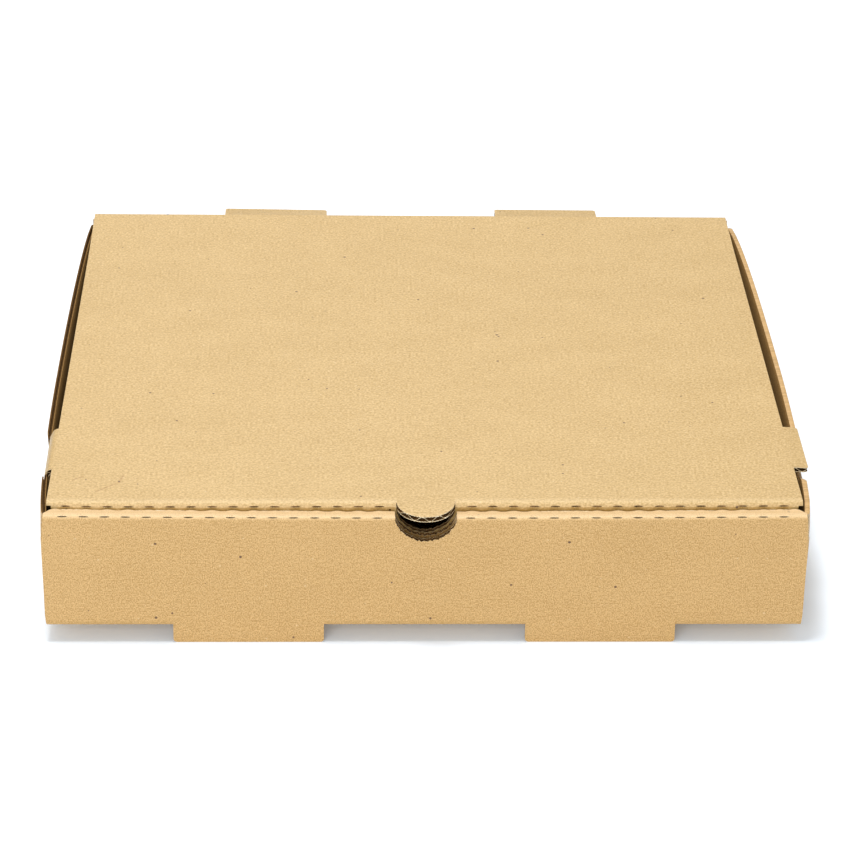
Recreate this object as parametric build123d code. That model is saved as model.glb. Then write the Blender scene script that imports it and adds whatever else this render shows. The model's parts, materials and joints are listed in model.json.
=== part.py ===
from build123d import *
from math import asin, atan2, degrees, hypot
import os

# One-piece corrugated pizza box, closed, standing on its two front feet and the
# back edge of its base. Millimetres. It is modelled flat on z = 0 with the hinge
# edge towards +Y, then leaned back onto its feet at the end.

# Driving dimensions -------------------------------------------------------
inside_width = 305.0
inside_depth = 305.0
inside_height = 47.6
board = 2.5
layer_gap = 0.1
lid_gap = 0.3
fold_radius = 1.8

# Side walls, which bow outwards along their top edge
side_bow = 5.2
base_bow = 0.1
side_corner_radius = 12.0
ear_length = 50.0
ear_height = 36.0
ear_corner_radius = 8.0
ear_notch_depth = 6.0
ear_notch_clearance = 3.0
ear_notch_radius = 2.5

# Rolled-over front
roll_drop = 2.0
roll_end_trim = 3.2
inner_wall_end_gap = 3.5
foot_width = 62.6
foot_spacing = 144.6
foot_height = 7.5
foot_corner_radius = 1.5
lock_clearance = 0.6
slot_margin = 0.3
thumb_radius = 12.0
thumb_setback = 0.9
thumb_clearance = 0.5
thumb_notch_lift = 1.5

# Lid
lid_side_inset = 1.0
back_tab_width = 49.6
back_tab_spacing = 131.8
back_tab_length = 9.0
back_tab_radius = 1.5
tab_clearance = 0.6
lid_ear_length = 39.0
lid_ear_radius = 1.5
left_ear_from_front = 30.0
left_ear_reach = 4.9
left_ear_droop = 40.0
right_ear_from_front = 32.5
right_ear_reach = 6.2
right_ear_droop = 5.0
flap_depth = 40.0
flap_lean = 5.0
flap_end_inset = 4.0
flap_corner_radius = 14.0

# Perforated creases at the front
perforation_start = 18.9
perforation_pitch = 8.49
perforation_cut = 4.0
perforation_gap = 0.8
roll_perforation_shift = -0.8

# Places worked out from the values above ------------------------------------
half_width = inside_width / 2 + board
front_layers = 3 * board + 2 * layer_gap
back_layers = 2 * board + layer_gap
y_back = (inside_depth + front_layers + back_layers) / 2
y_front = -y_back
y_inner_front = y_front + front_layers
wall_top = board + inside_height
lid_under = wall_top + lid_gap
lid_top = lid_under + board
roll_top = lid_top - roll_drop
lid_half_width = half_width - lid_side_inset
lid_front = y_inner_front + lid_gap
side_front = y_front + board + layer_gap
side_back = y_back - board - layer_gap
foot_offset = foot_spacing / 2
back_tab_offset = back_tab_spacing / 2

# The lean at which the feet's inner edges and the back fold's rounding touch one plane
contact_run = y_back - fold_radius - (y_front + board)
contact_rise = fold_radius + foot_height
contact_reach = hypot(contact_run, contact_rise)
rest_lean = degrees(atan2(contact_rise, contact_run) - asin(fold_radius / contact_reach))


def block(x_range, y_range, z_range):
    """A box between two corners, one pair of limits for each axis."""
    low = [min(pair) for pair in (x_range, y_range, z_range)]
    size = [abs(pair[1] - pair[0]) for pair in (x_range, y_range, z_range)]
    return Pos(*low) * Box(*size, align=(Align.MIN, Align.MIN, Align.MIN))


def span(centre, width):
    return (centre - width / 2, centre + width / 2)


def edge_rounding(start, end, outward):
    """What a fold's outer corner loses along the edge from start to end."""
    corner = Vector(start)
    run = Vector(end) - corner
    across = Vector(outward[0], outward[1], 0) * fold_radius
    up = Vector(0, 0, outward[2]) * fold_radius
    middle = corner - across - up + (across + up).normalized() * fold_radius
    outline = Wire([
        Line(corner - across, corner),
        Line(corner, corner - up),
        ThreePointArc(corner - up, middle, corner - across),
    ])
    return Solid.extrude(Face(outline), run)


def perforation(y, z, half_length, shift=0.0):
    """Open cuts along a crease, in two rows that run outwards from the thumb opening."""
    slit = Rot(45, 0, 0) * Box(perforation_cut, perforation_gap, 4 * board)
    row_length = half_length - perforation_cut - perforation_start
    cuts = []
    for index in range(int(row_length / perforation_pitch) + 1):
        reach = perforation_start + index * perforation_pitch
        cuts += [Pos(side * reach + shift, y, z) * slit for side in (-1, 1)]
    return cuts


# Tray ---------------------------------------------------------------------
def side_wall():
    """The +X wall: straight at its base fold and bowed out along its top edge."""
    middle = (side_front + side_back) / 2

    def outline(z, bow):
        inner = half_width - board
        outer = half_width
        corners = [(inner, side_front), (outer, side_front), (outer, side_back), (inner, side_back)]
        points = [Vector(x, y, z) for x, y in corners]
        return Wire([
            Line(points[0], points[1]),
            ThreePointArc(points[1], Vector(outer + bow, middle, z), points[2]),
            Line(points[2], points[3]),
            ThreePointArc(points[3], Vector(inner + bow, middle, z), points[0]),
        ])

    wall = Solid.make_loft([outline(0, base_bow), outline(wall_top, side_bow)], True)
    reach = (half_width - 2 * board, half_width + 2 * side_bow)
    corner = block(reach, (side_back - side_corner_radius, side_back + 1),
                   (wall_top - side_corner_radius, wall_top + 1))
    round_off = Pos(half_width, side_back - side_corner_radius, wall_top - side_corner_radius)
    round_off *= Rot(0, 90, 0) * Cylinder(side_corner_radius, 8 * side_bow)
    return wall - (corner - round_off)


def ear(y_range):
    """An ear of the side wall, folded in along the front or back wall."""
    plate = Rectangle(ear_length, ear_height, align=(Align.MAX, Align.MIN))
    inner_corners = plate.vertices().group_by(Axis.X)[0]
    plate = fillet(inner_corners, ear_corner_radius)
    plane = Plane((half_width, y_range[1], board + layer_gap), x_dir=(1, 0, 0), z_dir=(0, -1, 0))
    return extrude(plane * plate, y_range[1] - y_range[0])


def ear_notch(side, ear_from_front):
    """The gap in a side wall's top edge that the lid's ear drops into."""
    length = lid_ear_length + 2 * ear_notch_clearance
    middle = lid_front + ear_from_front + lid_ear_length / 2
    shape = Rectangle(length, 2 * ear_notch_depth)
    shape = fillet(shape.vertices().group_by(Axis.Y)[0], ear_notch_radius)
    plane = Plane((side * (half_width + side_bow / 2), middle, wall_top), x_dir=(0, 1, 0), z_dir=(1, 0, 0))
    return extrude(plane * shape, 3 * side_bow, both=True)


def feet():
    """Two feet in line with the front wall, cut free of the base below it."""
    shapes = []
    for side in (-1, 1):
        plate = Rectangle(foot_width, foot_height + board, align=(Align.CENTER, Align.MAX))
        plate = fillet(plate.vertices().group_by(Axis.Y)[0], foot_corner_radius)
        plane = Plane((side * foot_offset, y_front + board, board), x_dir=(1, 0, 0), z_dir=(0, -1, 0))
        shapes.append(extrude(plane * plate, board))
    return shapes


def lock_tabs():
    """Tabs of the inner front wall that drop into the slots in the base."""
    width = foot_width - 2 * lock_clearance
    y_range = (y_inner_front - board, y_inner_front)
    return [block(span(side * foot_offset, width), y_range, (0, 2 * board)) for side in (-1, 1)]


def base_slots():
    y_range = (y_front + board, y_inner_front + slot_margin)
    return [block(span(side * foot_offset, foot_width), y_range, (-board, board)) for side in (-1, 1)]


def back_notches():
    """Openings in the back wall that the lid's back tabs were cut from and swing into."""
    bottom = lid_top - hypot(back_tab_length, board) - tab_clearance
    width = back_tab_width + 2 * tab_clearance
    y_range = (y_back - 2 * board, y_back + board)
    return [block(span(side * back_tab_offset, width), y_range, (bottom, lid_top)) for side in (-1, 1)]


def thumb_notch():
    middle = (y_front + y_inner_front) / 2
    hole = Cylinder(thumb_radius + thumb_clearance, 2 * front_layers)
    return Pos(0, middle, roll_top + thumb_notch_lift) * Rot(90, 0, 0) * hole


def roll_strip():
    """The strip across the top of the front, trimmed where the side walls pass its ends."""
    inner_half = half_width - board - layer_gap
    outline = Polyline(
        (-half_width, y_front), (half_width, y_front), (half_width, y_front + board - layer_gap),
        (inner_half, y_front + board + roll_end_trim), (inner_half - inner_wall_end_gap, y_inner_front),
        (inner_wall_end_gap - inner_half, y_inner_front), (-inner_half, y_front + board + roll_end_trim),
        (-half_width, y_front + board - layer_gap), close=True)
    return Pos(0, 0, roll_top - board) * extrude(make_face(outline), board)


def make_tray():
    inner_half = half_width - board - layer_gap - inner_wall_end_gap
    tray = block((-half_width, half_width), (y_front, y_back), (0, board))
    tray -= base_slots()
    tray += block((-half_width, half_width), (side_back + layer_gap, y_back), (0, wall_top))
    tray -= back_notches()
    right = side_wall() + ear((side_back - board, side_back)) + ear((side_front, side_front + board))
    left = right.mirror(Plane.YZ)
    tray += right - ear_notch(1, right_ear_from_front)
    tray += left - ear_notch(-1, left_ear_from_front)
    tray += block((-half_width, half_width), (y_front, y_front + board), (0, roll_top))
    tray += roll_strip()
    y_range = (y_inner_front - board, y_inner_front)
    tray += block((-inner_half, inner_half), y_range, (board + layer_gap, roll_top))
    tray += lock_tabs()
    tray += feet()
    tray -= thumb_notch()
    tray -= tray_edges()
    tray -= perforation(y_front, roll_top, half_width, roll_perforation_shift)
    return tray


def tray_edges():
    """The rounded outsides of the folds round the base and along the roll-over."""
    inner_foot = foot_offset - foot_width / 2
    outer_foot = foot_offset + foot_width / 2
    cuts = [
        edge_rounding((-half_width, y_back, 0), (half_width, y_back, 0), (0, 1, -1)),
        edge_rounding((half_width, y_front, 0), (half_width, y_back, 0), (1, 0, -1)),
        edge_rounding((-half_width, y_front, 0), (-half_width, y_back, 0), (-1, 0, -1)),
        edge_rounding((-half_width, y_front, roll_top), (half_width, y_front, roll_top), (0, -1, 1)),
        edge_rounding((-inner_foot, y_front, 0), (inner_foot, y_front, 0), (0, -1, -1)),
    ]
    for side in (-1, 1):
        start = (side * outer_foot, y_front, 0)
        end = (side * half_width, y_front, 0)
        cuts.append(edge_rounding(start, end, (0, -1, -1)))
    return cuts


# Lid ----------------------------------------------------------------------
def above_lid():
    """The space over the lid's top face, which no fold may stand up into."""
    reach = half_width + max(left_ear_reach, right_ear_reach)
    return block((-reach, reach), (y_front, y_back), (lid_top, lid_top + 2 * board))


def lid_ear(side, ear_from_front, ear_reach, droop):
    """An ear of the lid's side edge, bent down at the edge by the droop angle."""
    middle = lid_front + ear_from_front + lid_ear_length / 2
    plate = Rectangle(ear_reach + board, lid_ear_length, align=(Align.MIN, Align.CENTER))
    plate = fillet(plate.vertices().group_by(Axis.X)[-1], lid_ear_radius)
    plate = Pos(-board, 0, -board) * extrude(plate, board)
    plate = Pos(lid_half_width, middle, lid_top) * Rot(0, droop, 0) * plate
    plate -= above_lid()
    return plate if side > 0 else plate.mirror(Plane.YZ)


def tuck_flap():
    """The front flap, leaning inwards so that it clears the roll-over as the lid lifts."""
    plate = Rectangle(2 * (lid_half_width - flap_end_inset), flap_depth, align=(Align.CENTER, Align.MAX))
    plate = fillet(plate.vertices().group_by(Axis.Y)[0], flap_corner_radius)
    plane = Plane((0, 0, 0), x_dir=(1, 0, 0), z_dir=(0, -1, 0))
    plate = Pos(0, board, 0) * extrude(plane * plate, board)
    plate = Pos(0, lid_front, lid_top) * Rot(flap_lean, 0, 0) * plate
    return plate - above_lid()


def back_tabs():
    shapes = []
    for side in (-1, 1):
        plate = Rectangle(back_tab_width, back_tab_length + board, align=(Align.CENTER, Align.MIN))
        plate = fillet(plate.vertices().group_by(Axis.Y)[-1], back_tab_radius)
        shapes.append(Pos(side * back_tab_offset, y_back - board, lid_under) * extrude(plate, board))
    return shapes


def make_lid():
    lid = block((-lid_half_width, lid_half_width), (lid_front, y_back), (lid_under, lid_top))
    lid += tuck_flap()
    lid += back_tabs()
    lid += lid_ear(1, right_ear_from_front, right_ear_reach, right_ear_droop)
    lid += lid_ear(-1, left_ear_from_front, left_ear_reach, left_ear_droop)
    crease_ends = [(side * lid_half_width, lid_front, lid_top) for side in (-1, 1)]
    lid -= edge_rounding(*crease_ends, (0, -1, 1))
    lid -= perforation(lid_front, lid_top, lid_half_width)
    flap_hole = Cylinder(thumb_radius + thumb_clearance, 4 * board)
    lid -= Pos(0, lid_front, lid_under - layer_gap) * Rot(90, 0, 0) * flap_hole
    thumb = Pos(0, lid_front + thumb_setback, lid_under) * extrude(Circle(thumb_radius), board)
    lid += thumb
    return lid


# Standing on the feet -----------------------------------------------------
def at_rest(nodes):
    """Lean the box back onto its feet and put the origin under the middle of the whole."""
    leaned = {name: Rot(-rest_lean, 0, 0) * shape for name, shape in nodes.items()}
    whole = Compound(list(leaned.values())).bounding_box()
    middle = whole.center()
    move = Pos(-middle.X, -middle.Y, -whole.min.Z)
    hinge = (move * Rot(-rest_lean, 0, 0) * Pos(0, y_back, lid_top)).position
    print(f"hinge axis y {hinge.Y:.6f} z {hinge.Z:.6f}, lean {rest_lean:.6f} degrees")
    return {name: move * shape for name, shape in leaned.items()}


def main():
    os.makedirs("parts", exist_ok=True)
    nodes = at_rest({"tray": make_tray(), "lid": make_lid()})
    for name, shape in nodes.items():
        print(name, len(shape.solids()), shape.bounding_box())
        export_step(shape, f"parts/{name}.step")


main()
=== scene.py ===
import json
import math

import bpy
import numpy as np
from mathutils import Matrix, Vector


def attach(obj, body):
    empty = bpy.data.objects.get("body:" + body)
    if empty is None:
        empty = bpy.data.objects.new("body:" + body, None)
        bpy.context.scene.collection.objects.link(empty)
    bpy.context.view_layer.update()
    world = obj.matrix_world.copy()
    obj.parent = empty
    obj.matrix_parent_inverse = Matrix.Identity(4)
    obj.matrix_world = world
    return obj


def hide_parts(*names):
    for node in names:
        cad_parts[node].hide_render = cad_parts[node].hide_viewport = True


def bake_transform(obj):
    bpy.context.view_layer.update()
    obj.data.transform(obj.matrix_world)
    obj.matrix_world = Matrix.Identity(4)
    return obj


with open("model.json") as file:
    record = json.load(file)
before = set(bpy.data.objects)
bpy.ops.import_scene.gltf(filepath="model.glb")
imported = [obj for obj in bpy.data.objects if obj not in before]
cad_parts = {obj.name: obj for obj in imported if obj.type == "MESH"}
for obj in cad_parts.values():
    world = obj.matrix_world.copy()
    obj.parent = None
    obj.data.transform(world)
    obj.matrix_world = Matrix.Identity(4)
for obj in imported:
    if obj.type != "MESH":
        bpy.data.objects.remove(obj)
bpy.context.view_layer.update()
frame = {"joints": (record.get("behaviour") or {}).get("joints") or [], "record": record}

# Every shape below is worked out in millimetres in the box's own flat frame: x across, y from
# front to back, z up from the underside. toRow() leans it back onto its feet and makes it metres.
# A blank point is (across the flutes, along the flutes) in the flat cut board.

boxSizes = {
    "insideWidth": 305.0,
    "insideDepth": 305.0,
    "insideHeight": 47.6,
    "layerGap": 0.1,
    "lidGap": 0.3,
    "rollDrop": 2.0,  # how far the rolled front stands below the lid's top
    "lidInset": 1.0,  # the lid's side edge inside the tray's side
    "hingeDrop": 1.2,  # how far below the lid's top the back wall turns into the hinge fold
}

boardStock = {
    "thick": 2.5,
    "liner": 0.26,
    "medium": 0.22,
    "flutePitch": 6.5,
    "creased": 1.15,  # thickness left at a folded crease
    "hingeThick": 0.9,  # and at the lid's hinge
    "creaseReach": 1.3,  # how fast the board swells up again beside a crease
    "pinch": 0.16,  # share of thickness lost at a cut edge
    "pinchReach": 0.9,
    "foldRadius": 1.8,
    "rollRadii": (1.5, 1.7),  # of the rolled front's back and front crease
}

perforation = {
    "start": 18.9,  # first cut's middle, out from the thumb opening
    "pitch": 8.49,
    "cuts": 16,
    "length": 4.1,
    "lidGap": 0.36,  # half width of an open cut
    "rollGap": 0.36,
    "rollShift": -0.8,
}

# Places that several pieces share
board = boardStock["thick"]
halfWidth = boxSizes["insideWidth"] / 2 + board
frontLayers = 3 * board + 2 * boxSizes["layerGap"]
backLayers = 2 * board + boxSizes["layerGap"]
yBack = (boxSizes["insideDepth"] + frontLayers + backLayers) / 2
yFront = -yBack
yInner = yFront + frontLayers
wallTop = board + boxSizes["insideHeight"]
lidTop = wallTop + boxSizes["lidGap"] + board
rollTop = lidTop - boxSizes["rollDrop"]
wallEnd = lidTop - boxSizes["hingeDrop"]
lidHalf = halfWidth - boxSizes["lidInset"]
lidFront = yInner + boxSizes["lidGap"]
overBase = board + boxSizes["layerGap"]
sideFront = yFront + overBase
sideBack = yBack - overBase

hinge = frame["joints"][0]
topMount = next(m for m in frame["record"]["mounts"] if m["name"] == "lid_top")
lean = math.atan2(topMount["axis"][1], topMount["axis"][2])
print("frame loaded, leaning back", round(math.degrees(lean), 3), "degrees")


def toRow(points):
    # turn about x by the lean and slide so that the lid's back top edge lies on the hinge line
    y = points[..., 1] - yBack
    z = points[..., 2] - lidTop
    row = np.empty(points.shape)
    row[..., 0] = points[..., 0] / 1000
    row[..., 1] = hinge["pos_m"][1] + (y * math.cos(lean) + z * math.sin(lean)) / 1000
    row[..., 2] = hinge["pos_m"][2] + (z * math.cos(lean) - y * math.sin(lean)) / 1000
    return row


def foldPath(corners, radii):
    # straight runs joined by an arc at each inner corner: place(s) gives points and left normals
    corners = np.array(corners, float)
    legs = np.diff(corners, axis=0)
    lengths = np.hypot(legs[:, 0], legs[:, 1])
    headings = np.unwrap(np.arctan2(legs[:, 1], legs[:, 0]))
    turns = np.diff(headings)
    trims = np.concatenate([[0], np.array(radii) * np.tan(np.abs(turns) / 2), [0]])
    spans, arcs, run = [], [], 0.0
    for leg, length in enumerate(lengths):
        direction = legs[leg] / length
        spans.append((run, *(corners[leg] + direction * trims[leg]), headings[leg], 0.0))
        run += length - trims[leg] - trims[leg + 1]
        if leg < len(turns):
            curve = np.sign(turns[leg]) / radii[leg]
            spans.append((run, *(corners[leg + 1] - direction * trims[leg + 1]), headings[leg], curve))
            arcs.append((run, run + radii[leg] * abs(turns[leg])))
            run = arcs[-1][1]
    start, px, py, heading, curve = np.array(spans).T

    def place(s):
        i = np.clip(np.searchsorted(start, s, side="right") - 1, 0, None)
        ds, a, k = s - start[i], heading[i], curve[i]
        safe = np.where(k == 0, 1, k)
        b = a + k * ds
        dx = np.where(k == 0, ds * np.cos(a), (np.sin(b) - np.sin(a)) / safe)
        dy = np.where(k == 0, ds * np.sin(a), (np.cos(a) - np.cos(b)) / safe)
        return px[i] + dx, py[i] + dy, -np.sin(b), np.cos(b)

    return place, arcs, run


def gridLines(keys, step):
    # the keys in order, with every stretch between two of them cut into equal steps
    keys = sorted(set(round(float(k), 4) for k in keys))
    parts = [np.linspace(a, b, max(1, math.ceil((b - a) / step)) + 1)[:-1]
             for a, b in zip(keys, keys[1:])]
    return np.concatenate(parts + [keys[-1:]])


# rows close inside a cut edge, where the board is pinched
edgeRows = np.array([0, 0.35, 0.8, 1.6])


def edgeKeys(low, high):
    return [*(low + edgeRows), *(high - edgeRows)]


def arcKeys(span, steps=6):
    # lines over an arc and over the swelling beside it
    beside = np.array([0.5, 1.1, 2.0, 3.2])
    return [*(span[0] - beside), *np.linspace(span[0], span[1], steps + 1), *(span[1] + beside)]


def roundKeys(low, high, steps):
    # lines crowded towards both ends, for the two ends of a round opening
    return low + (high - low) * (1 - np.cos(np.linspace(0, math.pi, steps + 1))) / 2


def cornerKeys(low, high, corner, steps):
    # columns for the rounded corners at both ends of an edge
    ends = [*roundKeys(low, low + corner, steps), *roundKeys(high - corner, high, steps)]
    return [*edgeKeys(low, high), *ends]


def mirrored(values):
    return [*values, *(-np.array(values))]


def spanAbout(middle, half):
    return [middle - half, middle + half]


def quarterSteps(count):
    # 0 to 1 with the steps of a quarter circle, closest together at 0
    return 1 - np.cos(np.linspace(0, math.pi / 2, count))


def fluteLines(keys, perFlute=11):
    return gridLines(keys, boardStock["flutePitch"] / perFlute)


def squeezed(rows, fixed, edge, moved):
    # rows between `fixed` and `edge` are spread anew so that the one at `edge` lies at `moved`
    share = np.clip((rows - fixed) / (edge - fixed), 0, None)
    return np.where(share > 0, fixed + share * (moved - fixed), rows)


def halfChord(radius, offset):
    # half the width of a circle at an offset from its centre, nothing outside it
    return np.sqrt(np.clip(radius ** 2 - offset ** 2, 0, None))


def roundedEnd(offset, half, radius):
    # how far a rounded end falls short at this offset: a quarter circle in each corner
    return radius - halfChord(radius, np.clip(np.abs(offset) - (half - radius), 0, radius))


def bell(distance, reach):
    # 1 at no distance, dying away as a Gaussian
    return np.exp(-(distance / reach) ** 2)


def swell(distance, creased=boardStock["creased"]):
    # thickness at a distance from a crease: crushed there, whole again past the reach
    return board - (board - creased) * bell(np.clip(distance, 0, None), boardStock["creaseReach"])


def pinched(distance, share=boardStock["pinch"]):
    # share of the thickness that is left at a distance from a cut edge
    return 1 - share * bell(np.clip(distance, 0, None), boardStock["pinchReach"])


def awayFrom(s, span):
    # distance from a stretch of line, nothing inside it
    return np.maximum(np.maximum(span[0] - s, s - span[1]), 0)


def cutPhase(x):
    # distance from the nearest cut's middle, counted outwards
    reach = np.abs(x) - perforation["start"]
    number = np.clip(np.round(reach / perforation["pitch"]), 0, perforation["cuts"] - 1)
    return reach - number * perforation["pitch"]


def tieShare(x):
    # 0 at a cut's middle, 1 between two cuts: a raised cosine
    return 0.5 - 0.5 * np.cos(2 * math.pi * cutPhase(x) / perforation["pitch"])


def cutOpening(x, halfGap):
    # a lens: half an ellipse over each cut's length, nothing at the ties between
    share = cutPhase(x) / (perforation["length"] / 2)
    return halfGap * np.sqrt(np.clip(1 - share ** 2, 0, None))


def cutLines(shift=0.0):
    # columns that follow every lens of a perforated crease
    numbers = np.arange(perforation["cuts"]) * perforation["pitch"] + perforation["start"]
    inCut = np.array([-0.5, -0.44, -0.25, 0, 0.25, 0.44, 0.5]) * perforation["length"]
    reach = (numbers[:, None] + np.append(inCut, perforation["pitch"] / 2)[None, :]).ravel()
    return [*(reach + shift), *(shift - reach)]


class Shell:
    # corners, faces and face finishes gathered from many closed skins
    def __init__(self):
        self.points, self.faces, self.finish, self.blank, self.wearAndPaintedLight = [], [], [], [], []
        self.count = 0

    def skin(self, outer, inner, keep, blank, wearAndPaintedLight, finishes):
        # both faces of a thin sheet between two point grids, and a rim wherever a kept cell ends
        across, along = outer.shape[:2]
        number = np.arange(across * along).reshape(across, along)
        a, b, c, d = number[:-1, :-1], number[1:, :-1], number[1:, 1:], number[:-1, 1:]
        below = across * along
        top = np.stack([a, b, c, d], -1)
        padded = np.pad(keep, 1)
        rims = []
        gone = ((~padded[1:-1, :-2], a, b), (~padded[2:, 1:-1], b, c),
                (~padded[1:-1, 2:], c, d), (~padded[:-2, 1:-1], d, a))
        for missing, first, second in gone:
            edge = keep & missing
            p, q = first[edge], second[edge]
            rims.append(np.stack([q, p, p + below, q + below], -1))
        rims = np.concatenate(rims)
        flat = top[keep]
        quads = np.concatenate([flat, flat[:, ::-1] + below, rims])
        finish = np.repeat(finishes, [len(flat), len(flat), len(rims)])
        facing = np.cross(outer[1:, 1:] - outer[:-1, :-1], outer[:-1, 1:] - outer[1:, :-1])
        outward = np.einsum("ijk,ijk->ij", facing, (outer - inner)[:-1, :-1])
        if outward[keep].sum() < 0:
            quads = quads[:, ::-1]
        used, quads = np.unique(quads, return_inverse=True)
        quads = quads.reshape(-1, 4)
        self.points.append(np.concatenate([outer.reshape(-1, 3), inner.reshape(-1, 3)])[used])
        self.blank.append(np.concatenate([blank.reshape(-1, 3)] * 2)[used])
        self.wearAndPaintedLight.append(np.concatenate([wearAndPaintedLight.ravel()] * 2)[used])
        self.faces.append(quads + self.count)
        self.finish.append(finish)
        self.count += len(used)


def fluteDepth(across, thick):
    # middle of the fluted paper inside the board: a rounded wave that touches both liners
    swing = (thick - 2 * boardStock["liner"] - boardStock["medium"]) / 2
    wave = np.sin(2 * math.pi * across / boardStock["flutePitch"])
    return thick / 2 + swing * wave / np.sqrt(0.62 + 0.38 * wave ** 2)


def keepAll(u, v):
    return np.ones(u.shape, bool)


def boardSheet(shell, u, v, fine, bend, surface, thickness, keepAt=keepAll, flutes="u", bendInside=None,
               rims=("cutEdge", "cutEdge")):
    # outer liner, fluted middle and inner liner of one panel, each a closed skin.
    # u and v are grid lines, fine the closer lines across the flutes, bend(u, v) the true v of a row.
    # surface(u, v) gives points, inward normals, blank places and a tone value for real wear and painted
    # light and shade, thickness(u, v) the board's.
    liner, medium = boardStock["liner"], boardStock["medium"]
    uFine, vFine = (fine, v) if flutes == "u" else (u, fine)
    bendInside = bendInside or bend
    # every face that looks into the board's hollow takes the dark flute finish: painted shade
    layers = [(u, v, bend, lambda t, q: 0 * t, lambda t, q: 0 * t + liner, ("kraft", "flute", rims[0])),
              (uFine, vFine, bendInside, lambda t, q: fluteDepth(q, t) - medium / 2,
               lambda t, q: fluteDepth(q, t) + medium / 2, ("flute", "flute", rims[1])),
              (u, v, bendInside, lambda t, q: t - liner, lambda t, q: t, ("flute", "inside", rims[0]))]
    for uLines, vLines, bending, near, far, finishes in layers:
        uu, vv = np.meshgrid(uLines, vLines, indexing="ij")
        uMid = (uLines[1:] + uLines[:-1]) / 2
        vMid = (vLines[1:] + vLines[:-1]) / 2
        keep = keepAt(*np.meshgrid(uMid, vMid, indexing="ij"))
        bent = bending(uu, vv)
        points, normals, blank, wearAndPaintedLight = surface(uu, bent)
        thick = thickness(uu, bent)
        across = blank[..., 0]
        shell.skin(points + normals * near(thick, across)[..., None],
                   points + normals * far(thick, across)[..., None], keep, blank, wearAndPaintedLight, finishes)


def stacked(*parts):
    return np.stack(np.broadcast_arrays(*parts), -1)


def addObject(name, data):
    placed = bpy.data.objects.new(name, data)
    bpy.context.scene.collection.objects.link(placed)
    return placed


def makePiece(name, shell, finishes):
    points = toRow(np.concatenate(shell.points))
    faces = np.concatenate(shell.faces)
    kinds, kindOf = np.unique(np.concatenate(shell.finish), return_inverse=True)
    slots = np.array([list(finishes).index(kind) for kind in kinds], np.int32)
    mesh = bpy.data.meshes.new(name)
    mesh.vertices.add(len(points))
    mesh.vertices.foreach_set("co", points.ravel())
    mesh.loops.add(faces.size)
    mesh.loops.foreach_set("vertex_index", faces.ravel().astype(np.int32))
    mesh.polygons.add(len(faces))
    mesh.polygons.foreach_set("loop_start", np.arange(0, faces.size, 4, dtype=np.int32))
    mesh.polygons.foreach_set("material_index", slots[kindOf])
    for material in finishes.values():
        mesh.materials.append(material)
    mesh.update(calc_edges=True)
    flatPlace = mesh.attributes.new("blank", "FLOAT_VECTOR", "POINT")
    flatPlace.data.foreach_set("vector", (np.concatenate(shell.blank) / 1000).ravel().astype(np.float32))
    # per-point tone value: real wear, painted highlights and painted shade
    wornAndLit = mesh.attributes.new("wearAndPaintedLight", "FLOAT", "POINT")
    wornAndLit.data.foreach_set("value", np.concatenate(shell.wearAndPaintedLight).astype(np.float32))
    mesh.shade_smooth()
    mesh.set_sharp_from_angle(angle=math.radians(32))
    mesh.validate()
    print(name, len(faces) * 2, "triangles")
    return addObject(name, mesh)


boardFinishes = {
    "kraft": {"dark": (0.402, 0.220, 0.047), "light": (0.648, 0.404, 0.155), "fibre": 0.70, "rough": 0.50,
              "bump": 0.35, "specular": 0.65, "sheen": 0.08},
    # the lid's paper is paler and less saturated than the tray's, though it is the same board: a painted
    # sheen for the white light the top reflects
    # the lid's scratches run between blank points, the second number counted from the hinge fold
    "lid": {"dark": (0.398, 0.245, 0.064), "light": (0.645, 0.447, 0.195), "fibre": 0.48, "rough": 0.50,
            "bump": 0.45, "specular": 0.65, "sheen": 0.08, "grain": (2.3, 1.35, 1.0),
            "scratches": [((-144.3, -287.5), (-140.5, -284.5)), ((-134.5, -298.0), (-125.5, -289.5)),
                          ((-125.5, -289.5), (-124.0, -283.0))]},
    # darker than the outer kraft: partly the inside liner's own duller colour, partly painted shade for the
    # box's shaded interior
    "inside": {"dark": (0.225, 0.115, 0.030), "light": (0.355, 0.208, 0.070), "fibre": 0.6, "rough": 0.8,
               "bump": 0.3, "specular": 0.12, "sheen": 0.0},
    # pale: partly the cut and crushed paper's own lighter colour, partly a painted highlight on edges that
    # sit in shade
    "cutEdge": {"dark": (0.560, 0.400, 0.200), "light": (0.930, 0.790, 0.540), "fibre": 0.8, "rough": 0.85,
                "bump": 0.5, "specular": 0.2, "sheen": 0.0},
    # near black: painted shade for the board's hollows, far darker than the fluted paper's own kraft colour
    "flute": {"dark": (0.090, 0.042, 0.012), "light": (0.210, 0.112, 0.038), "fibre": 0.7, "rough": 0.9,
              "bump": 0.4, "specular": 0.1, "sheen": 0.0},
}

# the paper's noises: grain size along and across the flutes' lines in millimetres, detail, strength
paperGrain = {
    "fibre": ((3.0, 0.9), 3.0, 1.3),
    "threads": ((1.1, 0.9), 2.0, 1.5),
    "grain": ((0.46, 0.62), 2.0, 6.2),
    "clouds": ((34.0, 20.0), 2.0, 0.35),
}

paperMarks = {
    "specks": (7.0, 0.55, 0.36),  # spacing, size and the share of places that have one
    "flecks": (3.1, 0.34, 0.22),
    "speckTint": (0.26, 0.19, 0.12, 1),
    # pale tint for the flecks, for real wear and for painted highlights
    "wornAndLit": (0.82, 0.66, 0.42, 1),
    "scratchTint": (0.76, 0.66, 0.53, 1),
    "scratchHalf": 0.6,
    "scratchDepth": 0.6,
}


def feed(tree, node, inputs):
    # each input takes a constant, or a link from the output given
    for key, value in inputs.items():
        if isinstance(value, bpy.types.NodeSocket):
            tree.links.new(value, node.inputs[key])
        else:
            node.inputs[key].default_value = value
    return node


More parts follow.
